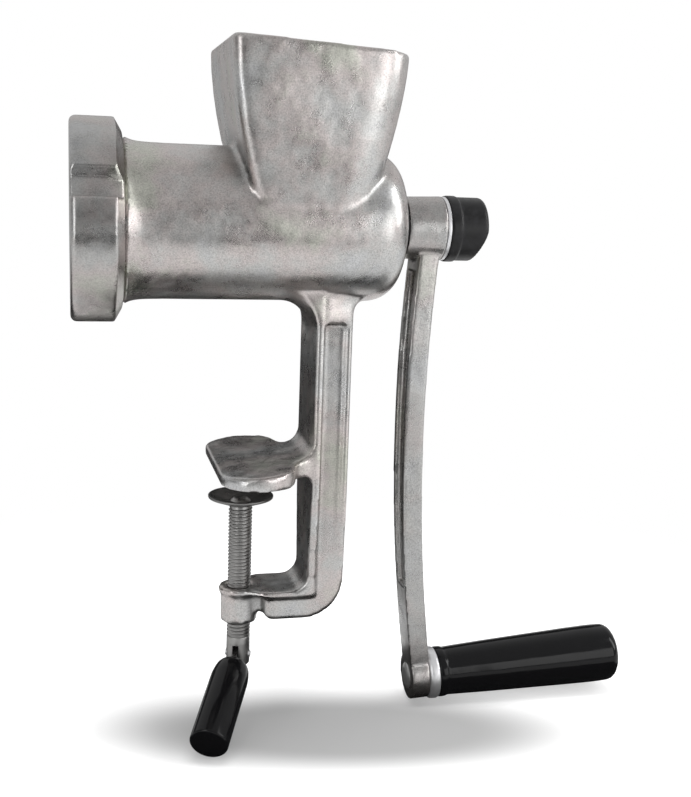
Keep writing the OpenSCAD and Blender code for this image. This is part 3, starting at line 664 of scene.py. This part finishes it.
class GRINDER_OT_handle(bpy.types.Operator):
    """Turn the handle, its axle and its collar"""
    bl_idname = "grinder.handle"
    bl_label = "Handle"

    def execute(self, context):
        axle_r = 4 * MM
        self.grip(axle_r)
        self.collar(axle_r)
        self.axle(axle_r)
        finish_node("grip_end_washer", "bright_steel")
        return {"FINISHED"}

    def grip(self, axle_r):
        """Handle that swells from a beaded neck to a round end, with a recess for the axle's head."""
        start, end, outer = turned("grip", HANDLE)
        length = end - start
        neck = 11 * MM
        bore = axle_r + 0.05 * MM
        recess, recess_r = end - 6 * MM, 7 * MM
        grip = outline_solid([
            (start, bore, 0), (start, neck - 0.3 * MM, 0.5 * MM), (start + MM, neck, 0.5 * MM),
            (start + 3 * MM, neck, 0.5 * MM), (start + 4.2 * MM, neck - 0.5 * MM, 0.7 * MM),
            (start + 0.5 * length, neck + 0.6 * (outer - neck), 20 * MM),
            (start + 0.9 * length, outer, 4 * MM), (end - 0.3 * MM, outer - 0.4 * MM, 3.5 * MM),
            (end, recess_r + MM, 0.5 * MM), (recess, recess_r, 0.3 * MM), (recess, bore, 0)],
            closed=True, segments=128)
        finish_piece("handle_grip", place(grip, HANDLE), "handle", "gloss_black",
                     "grip", math.radians(50))

    def collar(self, axle_r):
        """Bright ring between the crank's eye and the handle."""
        start, end, outer = turned("grip_collar", HANDLE)
        collar = outline_solid([
            (start, axle_r, 0), (start, outer - 0.9 * MM, 0.5 * MM),
            (start + 1.2 * MM, outer - 0.1 * MM, 0.5 * MM), (end - 0.8 * MM, outer, 0.4 * MM),
            (end, outer - 0.5 * MM, 0.3 * MM), (end, axle_r, 0)], closed=True)
        finish_piece("collar", place(collar, HANDLE), "crank_arm", "bright_steel",
                     "grip_collar")

    def axle(self, axle_r):
        """Axle with a rivet head in the crank's eye and a head in the end of the handle."""
        start, end, _ = turned("grip_axle", HANDLE)
        head = end - 2 * MM
        axle = outline_solid([
            (start, 0, 0), (start, 3.4 * MM, 0.4 * MM), (0.5 * start, 5.0 * MM, 0.4 * MM),
            (0, 5.7 * MM, 0.2 * MM), (0, axle_r, 0), (head, axle_r, 0), (head, 5.5 * MM, 0.2 * MM),
            (end - 0.6 * MM, 5.0 * MM, 0.5 * MM), (end, 2.5 * MM, 0.4 * MM), (end, 0, 0)])
        finish_piece("axle", place(axle, HANDLE), "crank_arm", "steel", "grip_axle")


class GRINDER_OT_clamp_screw(bpy.types.Operator):
    """Wind the clamp screw's thread, split its end and turn the cup"""
    bl_idname = "grinder.clamp_screw"
    bl_label = "Clamp screw and cup"

    def execute(self, context):
        self.spindle(context.scene.grinder_threads)
        self.cup()
        return {"FINISHED"}

    def spindle(self, threads):
        """Threaded rod with a riveted neck above and a plain stem below, which ends in two prongs."""
        bottom, rivet_top, radius = turned("clamp_screw", SCREW)
        cup_low = low("pressure_cup").z
        root = radius - threads.screw_height
        top = cup_low - 0.1 * MM
        fork = bottom + 9.6 * MM
        plain = fork + 3.6 * MM
        rivet = cup_low + 1.5 * MM
        neck_r = 3 * MM
        overlap = 0.5 * MM
        root_half, crest_half = 0.62 * MM, 0.12 * MM
        sunk = root - 0.1 * MM
        ridge = helix([(-root_half, sunk), (-crest_half, radius), (crest_half, radius), (root_half, sunk)],
                      threads.screw_lead, plain, top - 1.2 * MM, steps_per_turn=40)
        rod = outline_solid([
            (plain - overlap, 0, 0), (plain - overlap, root, 0), (top, root, 0.5 * MM), (top, 0, 0)])
        neck = outline_solid([
            (top - overlap, 0, 0), (top - overlap, neck_r, 0), (rivet, neck_r, 0),
            (rivet, 4.4 * MM, 0.3 * MM), (rivet_top, 2.6 * MM, 0.7 * MM), (rivet_top, 0, 0)], segments=48)
        stem = outline_solid([(fork, 0, 0), (fork, radius, 0), (plain, radius, 0.5 * MM), (plain, 0, 0)])
        prongs = [self.prong(side, radius, bottom, fork + 0.2 * MM) for side in (-1, 1)]
        finish_piece("clamp_spindle", joined(ridge, rod, neck, stem, *prongs), "screw",
                     "screw_steel", "clamp_screw")

    def prong(self, side, radius, bottom, top):
        """One half of the slotted end, with the round of the spindle outside and a flat inside."""
        half_slot = 1.3 * MM
        across = Vector(JOINTS["lever_fold"]["axis"]).normalized() * side
        bm = outline_solid([
            (bottom, 0, 0), (bottom, radius - MM, 0), (bottom + MM, radius, 0.5 * MM), (top, radius, 0),
            (top, 0, 0)])
        cut_flat(bm, across * half_slot, -across)
        bmesh.ops.recalc_face_normals(bm, faces=bm.faces)
        return bm

    def cup(self):
        """Thin dished cup that stays loose on the spindle's neck."""
        bottom, top, radius = turned("pressure_cup", SCREW)
        hole = 3.05 * MM
        thick = 1.4 * MM
        flat = 5.4 * MM
        bm = outline_solid([
            (bottom, hole, 0.15 * MM), (bottom, flat, 1.3 * MM), (top - MM, radius - 0.1 * MM, 0.3 * MM),
            (top, radius, 0.3 * MM), (top, radius - thick, 0.4 * MM),
            (bottom + thick, flat - 0.7 * MM, 1.2 * MM), (bottom + thick, hole, 0.15 * MM)], closed=True)
        finish_piece("cup", bm, "cup", "cup_steel", "pressure_cup")


class GRINDER_OT_folding_grip(bpy.types.Operator):
    """Turn the folding grip and its pin"""
    bl_idname = "grinder.folding_grip"
    bl_label = "Folding grip"

    def execute(self, context):
        joint = JOINTS["lever_fold"]
        pin = Vector((0, 0, (low("lever_pin").z + high("lever_pin").z) / 2))
        across = Vector(joint["axis"]).normalized()
        self.grip(pin, across, droop=math.radians(-joint["range_deg"][0]))
        half, pin_r = 5.3 * MM, 1.5 * MM
        rod = outline_solid([
            (-half, 0, 0), (-half, pin_r, 0.35 * MM), (half, pin_r, 0.35 * MM), (half, 0, 0)], segments=48)
        finish_piece("hinge_pin", place(rod, frame_at(pin, across)), "screw",
                     "bright_steel", "lever_pin")
        finish_node("lever_tongue", "screw_steel")
        return {"FINISHED"}

    def grip(self, pin, across, droop):
        """Grip that points away from the pin, and hangs below the level by the droop."""
        up = Vector((0, 0, 1))
        out = across.cross(up) * math.cos(droop) - up * math.sin(droop)
        basis = Matrix((across, out.cross(across), out)).transposed().to_4x4()
        where = Matrix.Translation(pin) @ basis
        start, end, radius = turned("lever_grip", where)
        grip = outline_solid([
            (start, 0, 0), (start, 2.3 * MM, 0), (start + 0.5 * MM, 4.6 * MM, MM),
            (start + 2.4 * MM, 6.6 * MM, 1.6 * MM), (start + 7 * MM, radius, 2.9 * MM),
            (end, radius, 0.9 * MM), (end, radius - 3 * MM, 0), (end, 0, 0)], segments=128)
        finish_piece("folding_grip", place(grip, where), "lever", "gloss_black",
                     "lever_grip", math.radians(50))


# Floor, light and camera

FLOOR_Z = CAD_BOUNDS[0][2] - MM
CARD_Z = FLOOR_Z + 0.5 * MM
AIM = (0.05, 0, 0.04)
LAMPS = (  # name, place, width and height, power, whether the metal mirrors it
    ("front", (0.58, -0.80, 0.2), (0.6, 0.5), 2.2, True),
    ("left", (-0.64, -0.62, 0.22), (0.28, 0.65), 1.6, True),
    ("right", (0.85, -0.25, 0.45), (0.25, 0.7), 3, True),
    ("overhead", (0.05, -0.05, 1.1), (0.8, 0.6), 9, False),
)
CARDS = (  # name, corner, and the two edges from that corner
    ("card_left", (-0.5, 0.14, CARD_Z), (0.58, 0, 0), (0, 0.26, 0.12)),
    ("card_below", (-0.045, -0.06, CARD_Z), (0.09, 0, 0), (0, 0.19, 0)),
    ("card_right", (0.045, -0.06, CARD_Z), (0.16, 0, 0), (0, 0.11, 0)),
    ("card_behind", (-0.06, 0.42, 0.0), (0.46, 0, 0), (0, 0.05, 0.25)),
    ("card_front", (-0.5, -1.0, CARD_Z), (0.66, 0, 0), (0, 0.58, 0)),
)


class Shading(NodeTree):
    """Node tree of the world or of the floor, built from nothing."""

    def __init__(self, tree):
        super().__init__(tree)
        tree.nodes.clear()

    def step(self, value, start, end, low_value=0.0, high_value=1.0):
        """Smooth step from one value to another as the input goes from start to end."""
        return self.node("ShaderNodeMapRange", {
            "Value": value, "From Min": start, "From Max": end, "To Min": low_value, "To Max": high_value},
            interpolation_type="SMOOTHSTEP").outputs["Result"]

    def math(self, operation, a, b):
        """Sum, product and so on of two values, kept between 0 and 1."""
        return self.node("ShaderNodeMath", {0: a, 1: b}, operation=operation, use_clamp=True).outputs[0]

    def mixed(self, factor, a, b):
        """Shader that goes from a to b."""
        return self.node("ShaderNodeMixShader", {0: factor, 1: a, 2: b}).outputs[0]

    def sees_background(self, share):
        """1 for camera rays and the share for mirrored and bent ones, so that metal shows the background."""
        rays = self.node("ShaderNodeLightPath").outputs
        mirrored = self.math("MAXIMUM", rays["Is Glossy Ray"], rays["Is Transmission Ray"])
        return self.math("MAXIMUM", rays["Is Camera Ray"], self.math("MULTIPLY", mirrored, share))


def world_light(strength):
    """Studio that is bright above and to the right and grey below, in front of a white backdrop."""
    world = bpy.data.worlds.new("studio")
    bpy.context.scene.world = world
    world.use_nodes = True
    shading = Shading(world.node_tree)
    where = shading.node("ShaderNodeTexCoord").outputs["Generated"]
    split = shading.node("ShaderNodeSeparateXYZ", {0: where}).outputs
    above = shading.step(split["Z"], 0.05, 0.75, low_value=0.30)
    right = shading.step(split["X"], 0.2, 0.9, high_value=0.35)
    grey = shading.math("ADD", above, right)
    plain = shading.node("ShaderNodeBackground", {"Color": grey, "Strength": strength}).outputs[0]
    white = shading.node("ShaderNodeBackground", {"Color": (1, 1, 1, 1)}).outputs[0]
    behind = shading.step(split["Y"], -0.1, 0.5)
    mirrored = shading.math("MULTIPLY", behind, 0.5)
    seen = shading.mixed(shading.sees_background(mirrored), plain, white)
    out = shading.node("ShaderNodeOutputWorld", {"Surface": seen})
    out.is_active_output = True


def floor_material():
    """Pale floor with a painted soft shadow under the grinder, which also takes the lamps' real shadows, and
    turns plain white further out.
    """
    material = bpy.data.materials.new("floor")
    material.use_nodes = True
    shading = Shading(material.node_tree)
    where = shading.node("ShaderNodeTexCoord").outputs["Object"]
    plain = shading.node("ShaderNodeBsdfDiffuse", {"Color": (0.8, 0.8, 0.8, 1)}).outputs[0]
    white = shading.node("ShaderNodeEmission", {"Strength": 1.0}).outputs[0]
    # Painted shadow: an ellipse under the grinder, darkest at its core, in the floor's colour and in its glow.
    painted_shadow_spot = shading.node("ShaderNodeMapping", {
        "Vector": where, "Location": (0.041, -0.024, FLOOR_Z), "Rotation": (0, 0, math.radians(-10)),
        "Scale": (0.118, 0.040, 1)}, vector_type="TEXTURE").outputs["Vector"]
    reach = shading.node("ShaderNodeVectorMath", {0: painted_shadow_spot}, operation="LENGTH").outputs["Value"]
    core, rim = 0.45, 1.15
    painted_shadow_tone = shading.step(reach, core, rim, 0.30, 0.8)
    shadow = shading.node("ShaderNodeBsdfDiffuse", {"Color": painted_shadow_tone}).outputs[0]
    glow_with_painted_shadow = shading.node("ShaderNodeEmission", {
        "Color": shading.step(reach, core, rim, 0.15, 0.5)}).outputs[0]
    near = shading.node("ShaderNodeAddShader", {0: shadow, 1: glow_with_painted_shadow}).outputs[0]
    distance = shading.node("ShaderNodeVectorMath", {0: where, 1: (0.045, 0, FLOOR_Z)},
                            operation="DISTANCE").outputs["Value"]
    fade = shading.step(distance, 0.10, 0.34)
    rays = shading.node("ShaderNodeLightPath").outputs
    seen = shading.mixed(rays["Is Camera Ray"], white, shading.mixed(fade, near, white))
    lit = shading.mixed(shading.sees_background(0.4), plain, seen)
    clear = shading.node("ShaderNodeBsdfTransparent").outputs[0]
    below = shading.node("ShaderNodeNewGeometry").outputs["Backfacing"]
    shading.node("ShaderNodeOutputMaterial", {"Surface": shading.mixed(below, lit, clear)})
    return material


def softbox(name, place_at, size, power, mirrored):
    """Rectangular area lamp that looks at the grinder."""
    data = bpy.data.lights.new(name, "AREA")
    data.shape = "RECTANGLE"
    data.size, data.size_y = size
    data.energy = power
    lamp = bpy.data.objects.new(name, data)
    bpy.context.scene.collection.objects.link(lamp)
    lamp.location = place_at
    lamp.rotation_euler = (Vector(AIM) - Vector(place_at)).to_track_quat("-Z", "Y").to_euler()
    lamp.visible_glossy = mirrored


def black_card(name, corner, along, up):
    """Black card beside the camera's view, that only shows as a dark reflection in the metal."""
    bm = bmesh.new()
    start, along, up = Vector(corner), Vector(along), Vector(up)
    bm.faces.new([bm.verts.new(point) for point in (start, start + along, start + along + up, start + up)])
    card = as_object(name, bm)
    card.data.materials.append(bpy.data.materials["card"])
    card.visible_camera = False
    card.visible_diffuse = False
    card.visible_shadow = False


class GRINDER_OT_stage(bpy.types.Operator):
    """Set the floor, the lamps and the camera"""
    bl_idname = "grinder.stage"
    bl_label = "Stage"

    def execute(self, context):
        values = context.scene.grinder_stage
        self.floor()
        Finish("card", (0.02, 0.02, 0.02), metallic=0.0, roughness=0.9)
        for card in CARDS:
            black_card(*card)
        world_light(0.6 * values.light)
        for name, place_at, size, power, mirrored in LAMPS:
            softbox(name, place_at, size, power * values.light, mirrored)
        self.camera(context, values)
        context.scene.view_settings.view_transform = "Standard"
        return {"FINISHED"}

    def floor(self):
        """Round floor just below the grinder."""
        bm = bmesh.new()
        bmesh.ops.create_circle(bm, cap_ends=True, segments=64, radius=4)
        bmesh.ops.translate(bm, vec=(0, 0, FLOOR_Z), verts=bm.verts)
        floor = as_object("floor", bm)
        floor.data.materials.append(floor_material())

    def camera(self, context, values):
        """Camera at the photograph's viewing angle."""
        yaw, pitch, roll = values.camera_yaw, values.camera_pitch, values.camera_roll
        back = Vector((math.sin(yaw) * math.cos(pitch), -math.cos(yaw) * math.cos(pitch), math.sin(pitch)))
        right = Vector((math.cos(yaw), math.sin(yaw), 0))
        up = back.cross(right)
        side = right * math.cos(roll) + up * math.sin(roll)
        top = up * math.cos(roll) - right * math.sin(roll)
        data = bpy.data.cameras.new("camera")
        data.sensor_fit = "VERTICAL"
        data.sensor_height = 36
        data.lens = values.focal_pixels / PHOTO_HEIGHT * data.sensor_height
        data.clip_start = 0.01
        camera = bpy.data.objects.new("camera", data)
        context.scene.collection.objects.link(camera)
        turn = Matrix((side, top, back)).transposed().to_4x4()
        camera.matrix_world = Matrix.Translation(values.camera_place) @ turn
        context.scene.camera = camera


class GRINDER_PT_panel(bpy.types.Panel):
    """Lists the steps that build the grinder"""
    bl_label = "Meat grinder"
    bl_idname = "GRINDER_PT_panel"
    bl_space_type = "VIEW_3D"
    bl_region_type = "UI"
    bl_category = "Grinder"

    def draw(self, context):
        for operator in OPERATORS:
            self.layout.operator(operator.bl_idname)
        for name in GROUPS:
            box = self.layout.box()
            group = getattr(context.scene, name)
            for field in group.__annotations__:
                box.prop(group, field)


GROUPS = {
    "grinder_casting": GrinderCasting,
    "grinder_threads": GrinderThreads,
    "grinder_colours": GrinderColours,
    "grinder_stage": GrinderStage,
}
OPERATORS = (
    GRINDER_OT_finishes,
    GRINDER_OT_stage,
    GRINDER_OT_casting,
    GRINDER_OT_ring_nut,
    GRINDER_OT_feed_screw,
    GRINDER_OT_cutter,
    GRINDER_OT_crank,
    GRINDER_OT_crank_screw,
    GRINDER_OT_handle,
    GRINDER_OT_clamp_screw,
    GRINDER_OT_folding_grip,
)


def register():
    """Adds the classes to Blender."""
    for group in GROUPS.values():
        bpy.utils.register_class(group)
    for name, group in GROUPS.items():
        setattr(bpy.types.Scene, name, PointerProperty(type=group))
    for operator in OPERATORS:
        bpy.utils.register_class(operator)
    bpy.utils.register_class(GRINDER_PT_panel)


def unregister():
    """Takes the classes out of Blender again."""
    bpy.utils.unregister_class(GRINDER_PT_panel)
    for operator in reversed(OPERATORS):
        bpy.utils.unregister_class(operator)
    for name, group in GROUPS.items():
        delattr(bpy.types.Scene, name)
        bpy.utils.unregister_class(group)


def main():
    """Builds the grinder and its stage in order."""
    register()
    for operator in OPERATORS:
        group, name = operator.bl_idname.split(".")
        getattr(getattr(bpy.ops, group), name)()


if __name__ == "__main__":
    main()
